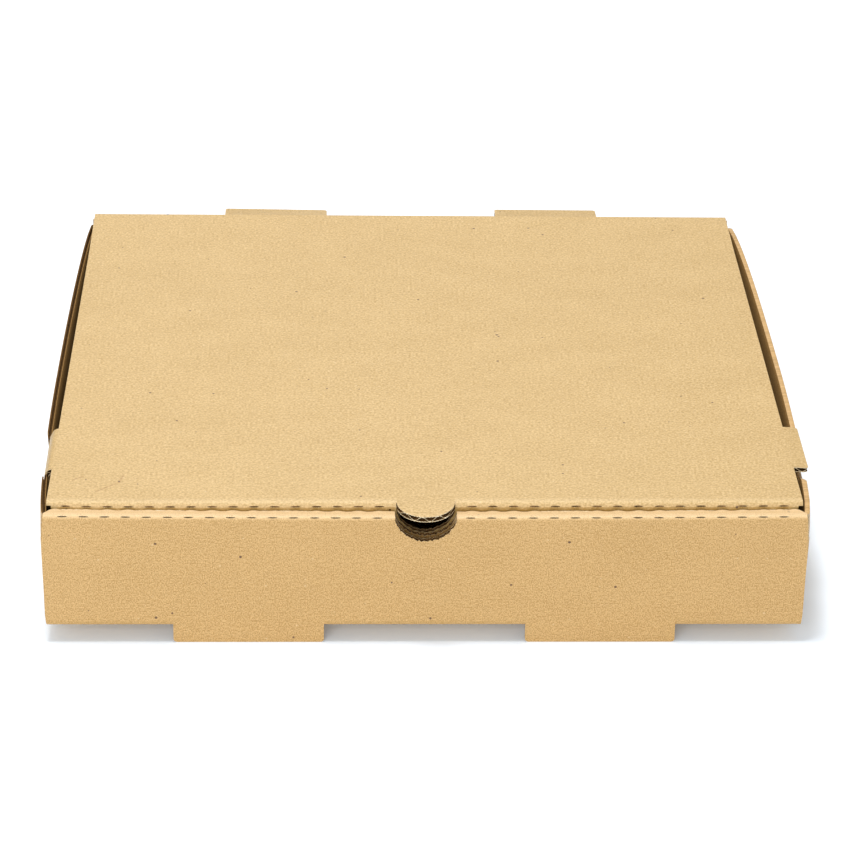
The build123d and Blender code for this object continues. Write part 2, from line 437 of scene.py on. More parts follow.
def addNode(tree, kind, inputs=None, **settings):
    node = tree.nodes.new(kind)
    for key, value in settings.items():
        setattr(node, key, value)
    return feed(tree, node, inputs or {})


def mathNode(tree, operation, *values, clamp=False):
    inputs = dict(enumerate(values))
    return addNode(tree, "ShaderNodeMath", inputs, operation=operation, use_clamp=clamp).outputs[0]


def mixNode(tree, factor, under, over, blend="MIX"):
    inputs = {"Factor": factor, 6: under, 7: over}
    return addNode(tree, "ShaderNodeMix", inputs, data_type="RGBA", blend_type=blend).outputs[2]


def noiseAt(tree, vector, stretch, detail, spread):
    # noise in real millimetres: stretch is one grain's size along the two blank directions
    scale = (1000 / stretch[0], 1000 / stretch[1], 1000 / stretch[1])
    mapping = addNode(tree, "ShaderNodeMapping", {"Vector": vector, "Scale": scale})
    noise = addNode(tree, "ShaderNodeTexNoise",
                    {"Vector": mapping.outputs[0], "Scale": 1.0, "Detail": detail, "Roughness": 0.6})
    return mathNode(tree, "MULTIPLY", mathNode(tree, "SUBTRACT", noise.outputs["Fac"], 0.5), spread)


def speckAt(tree, vector, cell, size, share):
    # one speck in a share of the cells of a Voronoi pattern, with a soft rim
    cells = addNode(tree, "ShaderNodeTexVoronoi", {"Vector": vector, "Scale": 1000 / cell, "Randomness": 1.0})
    split = addNode(tree, "ShaderNodeSeparateColor", {0: cells.outputs["Color"]})
    chosen = mathNode(tree, "LESS_THAN", split.outputs[0], share)
    grown = mathNode(tree, "MULTIPLY_ADD", split.outputs[1], size / cell, 0.4 * size / cell)
    near = mathNode(tree, "SUBTRACT", grown, cells.outputs["Distance"])
    soft = mathNode(tree, "MULTIPLY", near, 2.5 * cell / size, clamp=True)
    return mathNode(tree, "MULTIPLY", soft, chosen)


def scratchAt(tree, vector, start, end):
    # 1 on a fine line between two blank points, fading to 0 at its half width
    start, end = Vector((*start, 0)) / 1000, Vector((*end, 0)) / 1000
    run = end - start
    offset = addNode(tree, "ShaderNodeVectorMath", {0: vector, 1: start}, operation="SUBTRACT").outputs[0]
    unit = run / run.length_squared
    along = addNode(tree, "ShaderNodeVectorMath", {0: offset, 1: unit}, operation="DOT_PRODUCT")
    share = mathNode(tree, "MULTIPLY", along.outputs["Value"], 1.0, clamp=True)
    nearest = addNode(tree, "ShaderNodeVectorMath", {0: run, "Scale": share}, operation="SCALE").outputs[0]
    apart = addNode(tree, "ShaderNodeVectorMath", {0: offset, 1: nearest}, operation="DISTANCE")
    fade = -1000 / paperMarks["scratchHalf"]
    return mathNode(tree, "MULTIPLY_ADD", apart.outputs["Value"], fade, 1.0, clamp=True)


def kraftGroup():
    # pressed kraft paper: lengthwise fibres, fine grain, soft clouds, dark and pale specks
    tree = bpy.data.node_groups.new("kraftPaper", "ShaderNodeTree")
    for name, kind in (("Blank", "Vector"), ("Grain", "Vector"), ("WearAndPaintedLight", "Float"), ("Dark", "Color"),
                       ("Light", "Color"), ("Fibre", "Float"), ("Roughness", "Float")):
        tree.interface.new_socket(name, in_out="INPUT", socket_type="NodeSocket" + kind)
    for name, kind in (("Color", "Color"), ("Rough", "Float"), ("Height", "Float")):
        tree.interface.new_socket(name, in_out="OUTPUT", socket_type="NodeSocket" + kind)
    into = addNode(tree, "NodeGroupInput").outputs
    out = addNode(tree, "NodeGroupOutput")
    fibre, threads, grain = (noiseAt(tree, into["Grain"], *paperGrain[name])
                             for name in ("fibre", "threads", "grain"))
    clouds = noiseAt(tree, into["Blank"], *paperGrain["clouds"])
    fine = mathNode(tree, "ADD", mathNode(tree, "ADD", fibre, threads), grain)
    shaded = mathNode(tree, "MULTIPLY", fine, into["Fibre"])
    tone = mathNode(tree, "ADD", mathNode(tree, "ADD", shaded, clouds), 0.5)
    # the per-point value shifts the tone: real wear, painted highlights along creases, and painted shade
    # where a face turns out of the light
    wornAndLit = mathNode(tree, "MULTIPLY_ADD", into["WearAndPaintedLight"], 0.35, tone, clamp=True)
    paper = mixNode(tree, wornAndLit, into["Dark"], into["Light"])
    specks = speckAt(tree, into["Blank"], *paperMarks["specks"])
    flecks = speckAt(tree, into["Blank"], *paperMarks["flecks"])
    specked = mixNode(tree, specks, paper, paperMarks["speckTint"], "MULTIPLY")
    # its positive part lays on the pale tint: real wear and painted highlights
    rubbedAndLit = mathNode(tree, "MULTIPLY", into["WearAndPaintedLight"], 0.3)
    pale = mathNode(tree, "MULTIPLY_ADD", flecks, 0.35, rubbedAndLit, clamp=True)
    feed(tree, out, {
        "Color": mixNode(tree, pale, specked, paperMarks["wornAndLit"]),
        "Rough": mathNode(tree, "MULTIPLY_ADD", fine, 0.06, into["Roughness"]),
        "Height": mathNode(tree, "MULTIPLY_ADD", fine, 0.5, 0.5),
    })
    return tree


def paperMaterial(name, group, values):
    material = bpy.data.materials.new(name)
    material.use_nodes = True
    tree = material.node_tree
    place = addNode(tree, "ShaderNodeAttribute", attribute_name="blank").outputs["Vector"]
    wornAndLit = addNode(tree, "ShaderNodeAttribute", attribute_name="wearAndPaintedLight").outputs["Fac"]
    coarse = values.get("grain", (1.0, 1.0, 1.0))
    laid = addNode(tree, "ShaderNodeVectorMath", {0: place, 1: coarse}, operation="DIVIDE").outputs[0]
    paper = addNode(tree, "ShaderNodeGroup", node_tree=group)
    feed(tree, paper, {"Blank": place, "Grain": laid, "WearAndPaintedLight": wornAndLit,
                       "Dark": (*values["dark"], 1), "Light": (*values["light"], 1),
                       "Fibre": values["fibre"], "Roughness": values["rough"]})
    colour, height = paper.outputs["Color"], paper.outputs["Height"]
    for start, end in values.get("scratches", ()):
        mask = scratchAt(tree, place, start, end)
        colour = mixNode(tree, mask, colour, paperMarks["scratchTint"], "MULTIPLY")
        height = mathNode(tree, "MULTIPLY_ADD", mask, -paperMarks["scratchDepth"], height)
    bump = addNode(tree, "ShaderNodeBump", {"Strength": values["bump"], "Distance": 0.0002, "Height": height})
    feed(tree, tree.nodes["Principled BSDF"], {
        "Base Color": colour, "Roughness": paper.outputs["Rough"], "Normal": bump.outputs[0],
        "Specular IOR Level": values["specular"], "Sheen Weight": values["sheen"]})
    return material


paperNodes = kraftGroup()
finishes = {name: paperMaterial("board_" + name, paperNodes, values)
            for name, values in boardFinishes.items()}
lidKraftWithPaintedSheen = finishes.pop("lid")
lidFinishes = {**finishes, "kraft": lidKraftWithPaintedSheen}
print("finishes made")


trayFront = {
    "innerHalf": halfWidth - board - boxSizes["layerGap"] - 3.5,
    "thumbRadius": 13.0,
    "thumbLift": 3.3,  # the thumb opening's centre above the roll
    "thumbSetback": (1.3, 1.2),  # how much deeper it is in the outer and the inner front wall
    "ragged": 0.27,  # how far the cut round the opening wanders
    "sagFront": (0.25, 0.70),  # drop of the roll's front crease at its ends, and more in the middle
    "sagBack": (0.35, 0.95),
    "sagFrom": 20.0,  # the front walls keep their line below this height
    "dip": 0.5,
    "notchRow": 15.0,  # wall below this far from the crease is left straight
    "footWidth": 61.8,
    "footMiddle": 72.3,
    "footHeight": 7.5,
    "footRoot": 2.4,
    "footRound": 1.5,
    "footStraight": -1.5,  # a foot's rows above this stay level
    "slotEnd": 0.3,
    "lockHeight": overBase,
    "lockClearance": 0.6,
    "sideStrip": 150.0,  # past this the base belongs to the side walls' sheets
    "endSlant": (3.2, 3.5),  # how the roll's ends are trimmed back
    "slantFrom": 140.0,  # past this the roll's columns are drawn in to the trimmed ends
}

backNotch = {
    "middle": 65.9,
    "half": 25.4,
    "bottom": lidTop - math.hypot(9.0, board) - 0.6,
}

trayPath, trayArcs = foldPath(
    [(yInner, 0), (yInner, rollTop), (yFront, rollTop), (yFront, 0), (yBack, 0), (yBack, wallEnd)],
    [*boardStock["rollRadii"], boardStock["foldRadius"], boardStock["foldRadius"]])[:2]
rollBackLine, rollLine = (sum(span) / 2 for span in trayArcs[:2])
frontTurn, backTurn = trayArcs[2:]
wallStart = trayArcs[1][1]
thumbHalf = math.sqrt(trayFront["thumbRadius"] ** 2 - trayFront["thumbLift"] ** 2)
frontRims = ("cutEdge", "flute")  # the front's own cut edges show pale liners, partly the cut paper's own colour and partly a painted highlight, and dark flutes, painted shade in the hollows


def trayLine(height):
    # path length at which the outer front wall is at this height
    return wallStart + (rollTop - boardStock["rollRadii"][1] - height)


def baseLine(y):
    # path length at which the base is at this y
    return frontTurn[1] + (y - (yFront + boardStock["foldRadius"]))


def backLine(height):
    # path length at which the back wall is at this height
    return backTurn[1] + (height - boardStock["foldRadius"])


def frontSag(u, y, z):
    # the hollow front gives way a little: a parabola across, growing up the two front walls
    low, more = (np.interp(y, [yFront, yInner], pair)
                 for pair in zip(trayFront["sagFront"], trayFront["sagBack"]))
    arch = 1 - np.clip(np.abs(u) / halfWidth, 0, 1) ** 2
    grow = np.clip((z - trayFront["sagFrom"]) / (rollTop - trayFront["sagFrom"]), 0, 1) ** 1.5
    return np.where(y < yInner + board, (low + more * arch) * grow, 0)


def traySurface(u, s):
    # x across, the fold path in y and z, thickness on the path's left
    y, z, ny, nz = trayPath(s)
    # the roll's back crease dips between two cuts
    dip = trayFront["dip"] * tieShare(u) * bell(awayFrom(s, trayArcs[0]), 1.2)
    z = z - frontSag(u, y, z) - dip
    corner = np.sign(u) * cornerSwell(z) * np.clip(np.abs(u) / halfWidth, 0, 1) ** 6
    u = u + np.where(s < frontTurn[1], corner, 0)
    creases = np.minimum.reduce([awayFrom(s, span) for span in trayArcs])
    # the rolled strip is painted pale up to its cuts and just below them, a painted highlight on faces that
    # turn up to the light, and the lower folds are painted a little dark, painted shade
    onRoll = np.where(s < rollLine, bell(creases, 3.2), bell(s - rollLine, 0.7))
    wearAndPaintedLight = np.where(s < frontTurn[0] - 4, onRoll, -0.4 * bell(creases, 0.5))
    return stacked(u, y, z), stacked(0 * u, ny, nz), stacked(u, s, 0), wearAndPaintedLight


def trayThickness(u, s):
    thick = np.minimum.reduce([swell(awayFrom(s, span)) for span in trayArcs])
    thick = np.minimum(thick, swell(backLine(wallEnd) - s, boardStock["hingeThick"]))
    return thick * pinched(halfWidth - np.abs(u))


def thumbDrop(u, phase=0.0):
    # how far the thumb opening reaches below the roll: a circle's arc with a torn, wandering edge
    torn = np.sin(2.9 * u + phase) + 0.6 * np.sin(5.3 * u + 2 * phase) + 0.5 * np.sin(9.1 * u + 3 * phase)
    torn = trayFront["ragged"] * torn * np.clip((thumbHalf - np.abs(u)) / 2, 0, 1)
    deep = halfChord(trayFront["thumbRadius"], u) - trayFront["thumbLift"]
    return np.where(np.abs(u) < thumbHalf, deep + torn, 0)


def footEnds(clearance=0.0):
    return spanAbout(trayFront["footMiddle"], trayFront["footWidth"] / 2 - clearance)


def inFoot(u, clearance=0.0):
    low, high = footEnds(clearance)
    return (np.abs(u) > low) & (np.abs(u) < high)


def inNotch(u):
    return np.abs(np.abs(u) - backNotch["middle"]) < backNotch["half"]


def makeTrayFloor():
    # outer front wall, base and back wall: one sheet carried along the fold path
    shell = Shell()
    edges = [*footEnds(), *spanAbout(backNotch["middle"], backNotch["half"]), trayFront["sideStrip"]]
    keys = [*mirrored(edges), *edgeKeys(-halfWidth, halfWidth)]
    thumb = roundKeys(-thumbHalf, thumbHalf, 60)
    u = gridLines([*keys, *thumb, *cutLines(perforation["rollShift"])], 12)
    notchRow = rollLine + trayFront["notchRow"]
    footRow = trayLine(trayFront["footRoot"])
    slotRow = baseLine(yInner + trayFront["slotEnd"])
    notchFloor = backLine(backNotch["bottom"])
    top = backLine(wallEnd)
    v = gridLines([*np.linspace(rollLine, wallStart, 4), *(wallStart + np.array([0.6, 1.4, 2.6])), notchRow,
                   footRow, *arcKeys(frontTurn, 4), baseLine(sideFront), slotRow, baseLine(sideBack),
                   *arcKeys(backTurn, 4), notchFloor, *(top - np.array([2.4, 1.2, 0.5, 0]))], 40)

    def bend(u, v):
        gap = cutOpening(u - perforation["rollShift"], perforation["rollGap"])
        cut = np.where(np.abs(u) < thumbHalf, trayFront["thumbSetback"][0] + thumbDrop(u), 0)
        return squeezed(v, notchRow, rollLine, rollLine + gap + cut)

    def keep(u, v):
        strip = (np.abs(u) > trayFront["sideStrip"]) & (v > baseLine(sideFront)) & (v < baseLine(sideBack))
        slot = inFoot(u) & (v > footRow) & (v < slotRow)
        notch = inNotch(u) & (v > notchFloor)
        return ~(strip | slot | notch)

    fine = fluteLines([*keys, -thumbHalf, thumbHalf], 8)
    boardSheet(shell, u, v, fine, bend, traySurface, trayThickness, keep, rims=frontRims)

    def footSurface(u, z):
        return stacked(u, yFront, z), stacked(0 * u, 1, 0), stacked(u, -z, 0), 0 * u

    for side in (-1, 1):
        middle, half = side * trayFront["footMiddle"], trayFront["footWidth"] / 2
        low = -trayFront["footHeight"]
        u = gridLines(cornerKeys(*spanAbout(middle, half), 3, 8), 12)
        z = np.array([*(low + edgeRows), low + 3, trayFront["footStraight"], trayFront["footRoot"]])

        def footBend(u, z):
            rounded = low + roundedEnd(u - middle, half, trayFront["footRound"])
            return squeezed(z, trayFront["footStraight"], low, rounded)

        def footThick(u, z):
            return board * pinched(half - np.abs(u - middle)) * pinched(z - low)

        boardSheet(shell, u, z, fluteLines([*u[:6], *u[-6:]]), footBend, footSurface, footThick)
    return makePiece("tray_floor_walls", shell, finishes)


def makeTrayRoll():
    # inner front wall with its lock tabs, and the strip rolled over the top
    shell = Shell()
    thumb = roundKeys(-thumbHalf, thumbHalf, 80)
    innerHalf = trayFront["innerHalf"]
    keys = [*mirrored(footEnds(trayFront["lockClearance"])), *edgeKeys(-innerHalf, innerHalf)]
    lockRow = trayFront["lockHeight"]
    notchRow = rollBackLine - trayFront["notchRow"]
    fromEdge = np.array([0, 0.4, 0.9, 1.7])
    v = gridLines([*fromEdge, *(lockRow + fromEdge), notchRow, *(rollBackLine - np.array([3.2, 2.1, 1.2])),
                   *np.linspace(trayArcs[0][0], rollBackLine, 4)], 30)

    def innerBend(u, v):
        cut = np.where(np.abs(u) < thumbHalf, trayFront["thumbSetback"][1] + thumbDrop(u, 2.0), 0)
        return squeezed(v, notchRow, rollBackLine, rollBackLine - cut)

    def innerKeep(u, v):
        return (v > lockRow) | inFoot(u, trayFront["lockClearance"])

    def innerThick(u, v):
        low = np.where(inFoot(u, trayFront["lockClearance"]), 0, lockRow)
        return swell(awayFrom(v, trayArcs[0])) * pinched(innerHalf - np.abs(u)) * pinched(v - low)

    u = gridLines([*keys, *thumb], 12)
    boardSheet(shell, u, v, fluteLines([*keys, -thumbHalf, thumbHalf]), innerBend, traySurface, innerThick,
               innerKeep, rims=frontRims)

    # the strip narrows towards the back, where it passes between the side walls
    levelStart, levelEnd = trayArcs[0][1], trayArcs[1][0]
    v = gridLines([*np.linspace(rollBackLine, levelStart, 4), levelStart + 0.6, levelStart + 1.4,
                   levelEnd - 1.4, levelEnd - 0.6, *np.linspace(levelEnd, rollLine, 4)], 1.5)
    slantStart = halfWidth - overBase
    endRun, innerRun = trayFront["endSlant"]
    slantFrom = trayFront["slantFrom"]

    def rollBend(u, v):
        gap = cutOpening(u - perforation["rollShift"], perforation["rollGap"])
        return squeezed(v, (rollBackLine + rollLine) / 2, rollLine, rollLine - gap)

    def rollSurface(u, s):
        points, normals, blank, wearAndPaintedLight = traySurface(u, s)
        y = points[..., 1]
        half = np.interp(y, [yFront + board - boxSizes["layerGap"], yFront + board + endRun, yInner],
                         [halfWidth, slantStart, slantStart - innerRun])
        outer = np.clip((np.abs(u) - slantFrom) / (halfWidth - slantFrom), 0, 1)
        points[..., 0] = np.sign(u) * (np.abs(u) + outer * (half - halfWidth))
        return points, normals, blank, wearAndPaintedLight

    def rollThick(u, s):
        crease = np.minimum(swell(awayFrom(s, trayArcs[0])), swell(awayFrom(s, trayArcs[1])))
        return crease * pinched(halfWidth - np.abs(u))

    def besideThumb(u, v):
        return np.abs(u) > thumbHalf

    keys = [*edgeKeys(-halfWidth, halfWidth), *mirrored([slantFrom, thumbHalf])]
    u = gridLines([*keys, *cutLines(perforation["rollShift"])], 12)
    boardSheet(shell, u, v, fluteLines(keys), rollBend, rollSurface, rollThick, besideThumb, rims=frontRims)
    return makePiece("tray_rolled_front", shell, finishes)


sideWalls = {
    1: {"bow": 5.9, "peak": -20.0, "front": 1.5, "back": 2.5, "soft": 0.4, "earFront": 32.5, "phase": 1.4,
        "clear": 2.2, "flank": 6.0, "clearBack": 3.0, "bevel": 1.3,
        "cornerRound": 5.0, "folded": True, "rims": ("cutEdge", "cutEdge")},
    -1: {"bow": 4.4, "peak": -27.0, "front": 2.0, "back": 2.0, "soft": 0.5, "earFront": 30.0, "phase": 3.1,
         "clear": -0.5, "flank": 1.6, "clearBack": 0.8, "bevel": 0.0,
         "cornerRound": 1.5, "folded": False, "rims": ("inside", "flute")},
}

sideShape = {
    "cornerSwell": 0.9,  # how far the front corners stand out at half height
    "swellReach": 60.0,
    "notchLength": 39.0,
    "notchDepth": 6.0,
    "flankBack": 2.5,
    "earLength": 50.0,
    "earHeight": 36.0,
    "earRound": 8.0,
    "earJoin": 3.0,
    "earPhase": 4.23,  # how far the ears' flutes are out of step with the wall's
    "straightTo": 31.0,  # the wall's rows below this height stay level
    "bevelFrom": 35.0,
}


def cornerSwell(z):
    # the front corners stand out between base and top: a flattened hump up the wall
    return sideShape["cornerSwell"] * np.clip(1 - (2 * z / wallTop - 1) ** 4, 0, 1)


def sideBow(side, y, z):
    # outward lean of a side wall: a flattened arch along y, from its peak to both ends, that grows
    # up the wall
    wall = sideWalls[side]
    front, back, peak = sideFront - 0.4, sideBack + 0.6, wall["peak"]
    reach = np.where(y > peak, (y - peak) / (back - peak), (peak - y) / (peak - front))
    power = np.where(y > peak, wall["back"], wall["front"])
    arch = np.clip(1 - np.clip(reach, 0, 1) ** power, 0, None) ** wall["soft"]
    near = bell(y - sideFront, sideShape["swellReach"])
    return wall["bow"] * arch * (np.clip(z, 0, None) / wallTop) ** 1.25 + cornerSwell(z) * near


def earNotch(wall):
    # front and back of the dip in a side wall's top edge that the lid's ear lies in
    front = lidFront + wall["earFront"]
    return front - wall["clear"], front + sideShape["notchLength"] + wall["clearBack"]


def sideTop(side, y):
    # top edge of a side wall: level, with the ear's notch and the rounded back corner
    shape, wall = sideShape, sideWalls[side]
    low, high = earNotch(wall)
    inFront = np.clip((low - y) / wall["flank"], 0, 1)
    behind = np.clip((y - high) / shape["flankBack"], 0, 1)
    rise = np.maximum(halfChord(1, 1 - inFront), halfChord(1, 1 - behind))
    corner = roundedEnd(np.clip(y, 0, None), sideBack, wall["cornerRound"])
    return wallTop - shape["notchDepth"] * (1 - rise) - corner


def makeTraySides():
    shell = Shell()
    shape = sideShape
    radius = boardStock["foldRadius"]
    strip = trayFront["sideStrip"]
    earTop = overBase + shape["earHeight"]
    for side, wall in sideWalls.items():
        place, arcs = foldPath([(strip, 0), (halfWidth, 0), (halfWidth, wallTop)], [radius])[:2]

        def atHeight(z):
            return arcs[0][1] + z - radius

        low, high = earNotch(wall)
        joinBack, joinFront = sideBack - shape["earJoin"], sideFront + shape["earJoin"]
        y = gridLines([*edgeKeys(sideFront, sideBack), joinFront, joinBack,
                       *(low - wall["flank"] * quarterSteps(9)),
                       *(high + shape["flankBack"] * quarterSteps(6)),
                       *(sideBack - wall["cornerRound"] * quarterSteps(12))], 9)
        fixed, top, earRow = (atHeight(z) for z in (shape["straightTo"], wallTop, earTop))
        keys = [0, *arcKeys(arcs[0])[3:], atHeight(overBase), fixed, earRow, *(top - edgeRows)]
        v = gridLines(keys, 7)

        def bend(y, v):
            return squeezed(v, fixed, top, atHeight(sideTop(side, y)))

        def surface(y, s):
            x, z, nx, nz = place(s)
            x = x + sideBow(side, y, z)
            wearAndPaintedLight = 0.4 * bell(awayFrom(s, arcs[0]), 1.6)
            # the cut in front of the ear is crushed on the slant: the inner layers reach further back
            slant = wall["bevel"] * bell(low - y, 5) * (z > shape["bevelFrom"])
            return (stacked(side * x, y, z), stacked(side * nx, slant, nz),
                    stacked(strip + s + wall["phase"], y, 0), wearAndPaintedLight)

        def thickness(y, s):
            edge = atHeight(sideTop(side, y)) - s
            return swell(awayFrom(s, arcs[0])) * pinched(edge)

        def keep(y, v):
            ear = ((y > joinBack) | (y < joinFront)) & (v > atHeight(overBase)) & (v < earRow)
            return ~ear

        boardSheet(shell, y, v, fluteLines(keys), bend, surface, thickness, keep, flutes="v",
                   rims=wall["rims"])
        if wall["folded"]:
            # this wall's outer liner is turned over its top edge: a low arch across the thickness
            yy, share = np.meshgrid(y, np.linspace(0, 1, 7), indexing="ij")
            edge = atHeight(sideTop(side, yy))
            points, normals, blank, wearAndPaintedLight = surface(yy, edge)
            normals = normals * (thickness(yy, edge) * share)[..., None]
            crown = points + normals + stacked(0 * yy, 0, 0.25 * np.sin(math.pi * share))
            under = crown - np.array([0, 0, boardStock["liner"]])
            shell.skin(crown, under, keepAll(yy[1:, 1:], share), blank, wearAndPaintedLight, ("kraft", "flute", "cutEdge"))
        for end, y0 in ((1, sideBack), (-1, sideFront)):
            join = joinBack if end > 0 else joinFront
            earEnd = halfWidth - shape["earLength"]
            corners = [(halfWidth, abs(join)), (halfWidth, abs(y0)), (earEnd, abs(y0))]
            fold, folds, length = foldPath(corners, [radius])
            s = gridLines([*arcKeys(folds[0])[4:], 0, *(length - edgeRows),
                           *roundKeys(length - 2 * shape["earRound"], length, 10)], 12)
            keys = [*edgeKeys(overBase, earTop), (overBase + earTop) / 2]
            z = gridLines(keys, 9)

            def earBend(s, z):
                middle, half = (overBase + earTop) / 2, (earTop - overBase) / 2
                return middle + (z - middle) * (1 - roundedEnd(s, length, shape["earRound"]) / half)

            def earSurface(s, z):
                x, y, nx, ny = fold(s)
                x = x + sideBow(side, np.full_like(s, join), z)
                wearAndPaintedLight = 0.3 * bell(awayFrom(s, folds[0]), 1.6)
                blank = stacked(strip + z + wall["phase"] + shape["earPhase"], join + end * s, 0)
                return stacked(side * x, end * y, z), stacked(side * nx, end * ny, 0), blank, wearAndPaintedLight

            def earThick(s, z):
                edges = pinched(length - s) * pinched(z - overBase) * pinched(earTop - z)
                return swell(awayFrom(s, folds[0])) * edges

            boardSheet(shell, s, z, fluteLines(keys), earBend, earSurface, earThick, flutes="v")
    return makePiece("tray_sides", shell, finishes)


lidShape = {
    "foldStart": 1.5,  # the hinge fold begins this far in front of the back edge
    "tabMiddle": 65.9,
    "tabHalf": 24.8,
    "tabLength": 9.0,
    "tabRound": 1.5,
    "tabLift": 0.8,
    "tabSlit": 0.15,  # between a back tab and the hinge fold beside it
    "thumbRadius": 12.0,
    "thumbSetback": 0.9,
    "thumbSlit": 4.0,  # how far behind the crease the thumb tab parts from the lid's sheet
    "teeth": 1.25,  # length of one tooth of the cut under the thumb tab
    "toothDepth": 0.22,
    "earLength": 39.0,
    "ears": {1: {"front": 32.5, "reach": 6.2, "droop": 5.0, "curl": 2.0, "flare": 0.0, "round": 1.5},
             -1: {"front": 30.0, "reach": 4.4, "droop": 62.0, "curl": 3.0, "flare": 0.25, "round": 0.5}},
    "flapDepth": 40.0,
    "flapLean": 5.0,
    "flapHalf": 152.2,
    "flapTaper": 2.2,
    "flapRound": 14.0,
    "flapHole": 12.0,  # half width of the hole that the thumb tab leaves
    "creaseRadius": 2.1,
    "creaseLine": 0.85,  # the cuts' place along the crease's arc
    "bulge": 0.60,  # how far the folded edge stands out between two cuts
    "sag": (0.42, 0.30),  # the front edge's drop in the middle, and how much more to the left
    "sagReach": 22.0,
    "thumbDroop": 0.8,
    "rise": (1.45, 0.50),  # how far the back crease stands up, and how much more to the left
    "riseReach": 9.0,
    "hingeRadius": 1.19,
}

flapLean = math.radians(lidShape["flapLean"])
lidBack = yBack - lidShape["foldStart"]
flapTip = (lidFront + lidShape["flapDepth"] * math.sin(flapLean),
           lidTop - lidShape["flapDepth"] * math.cos(flapLean))
lidPath, (lidArc,), lidEnd = foldPath([(lidBack, lidTop), (lidFront, lidTop), flapTip],
                                      [lidShape["creaseRadius"]])
lidLine = lidArc[0] + lidShape["creaseLine"] * (lidArc[1] - lidArc[0])
thumbTabHalf = math.sqrt(lidShape["thumbRadius"] ** 2 - lidShape["thumbSetback"] ** 2)
thumbRow = lidArc[0] - lidShape["thumbSlit"]
tabEnds = spanAbout(lidShape["tabMiddle"], lidShape["tabHalf"])


def inTab(u, spare=0.0):
    return np.abs(np.abs(u) - lidShape["tabMiddle"]) < lidShape["tabHalf"] + spare


def lidSag(u, y):
    # the front edge hangs a little between its corners and the back crease stands up, both more to
    # the left: each is a bell curve that dies away along y
    share = u / lidHalf
    sag = (lidShape["sag"][0] - lidShape["sag"][1] * share) * (1 - np.abs(share) ** 12)
    rise = lidShape["rise"][0] - lidShape["rise"][1] * share
    atFront = bell(np.clip(y - lidFront, 0, None), lidShape["sagReach"])
    atBack = bell(np.clip(lidBack - y, 0, None), lidShape["riseReach"])
    return sag * atFront - rise * atBack


def lidSurface(u, s):
    y, z, ny, nz = lidPath(s)
    z = z - lidSag(u, y)
    fromCrease = awayFrom(s, lidArc)
    # between two cuts the crease bulges: a raised cosine that dies away down the flap
    tie = tieShare(u)
    down = np.clip(s - lidLine, 0, None)
    out = lidShape["bulge"] * tie * np.clip(down / 1.2, 0, 1) * bell(np.clip(down - 1.2, 0, None), 1.3)
    # the lid's edge is painted a little pale along the crease, a painted highlight, and the flap below the
    # cuts is painted dark, painted shade for the face that turns down out of the light
    wearAndPaintedLight = np.where(s < lidLine + 0.3, 0.3 * bell(fromCrease, 1.6), -1.7)
    points = stacked(u, y, z) - stacked(0 * u, ny, nz) * out[..., None]
    return points, stacked(0 * u, ny, nz), stacked(u, -s, 0), wearAndPaintedLight


def lidThickness(u, s):
    crease = swell(awayFrom(s, lidArc))
    back = np.where(inTab(u, 0.3), board, swell(s, boardStock["hingeThick"]))
    return np.minimum(crease, back) * pinched(lidHalf - np.abs(u))


def thumbSurface(u, v):
    # the lid's level face carried on, v being y, with its tip bent down as a parabola
    past = np.clip((lidFront + 1.5 - v) / lidShape["thumbRadius"], 0, 1)
    z = lidTop - lidSag(u, v) - lidShape["thumbDroop"] * past ** 2
    return stacked(u, v, z), stacked(0 * u, 0, -1), stacked(u, v, 0), 0 * u


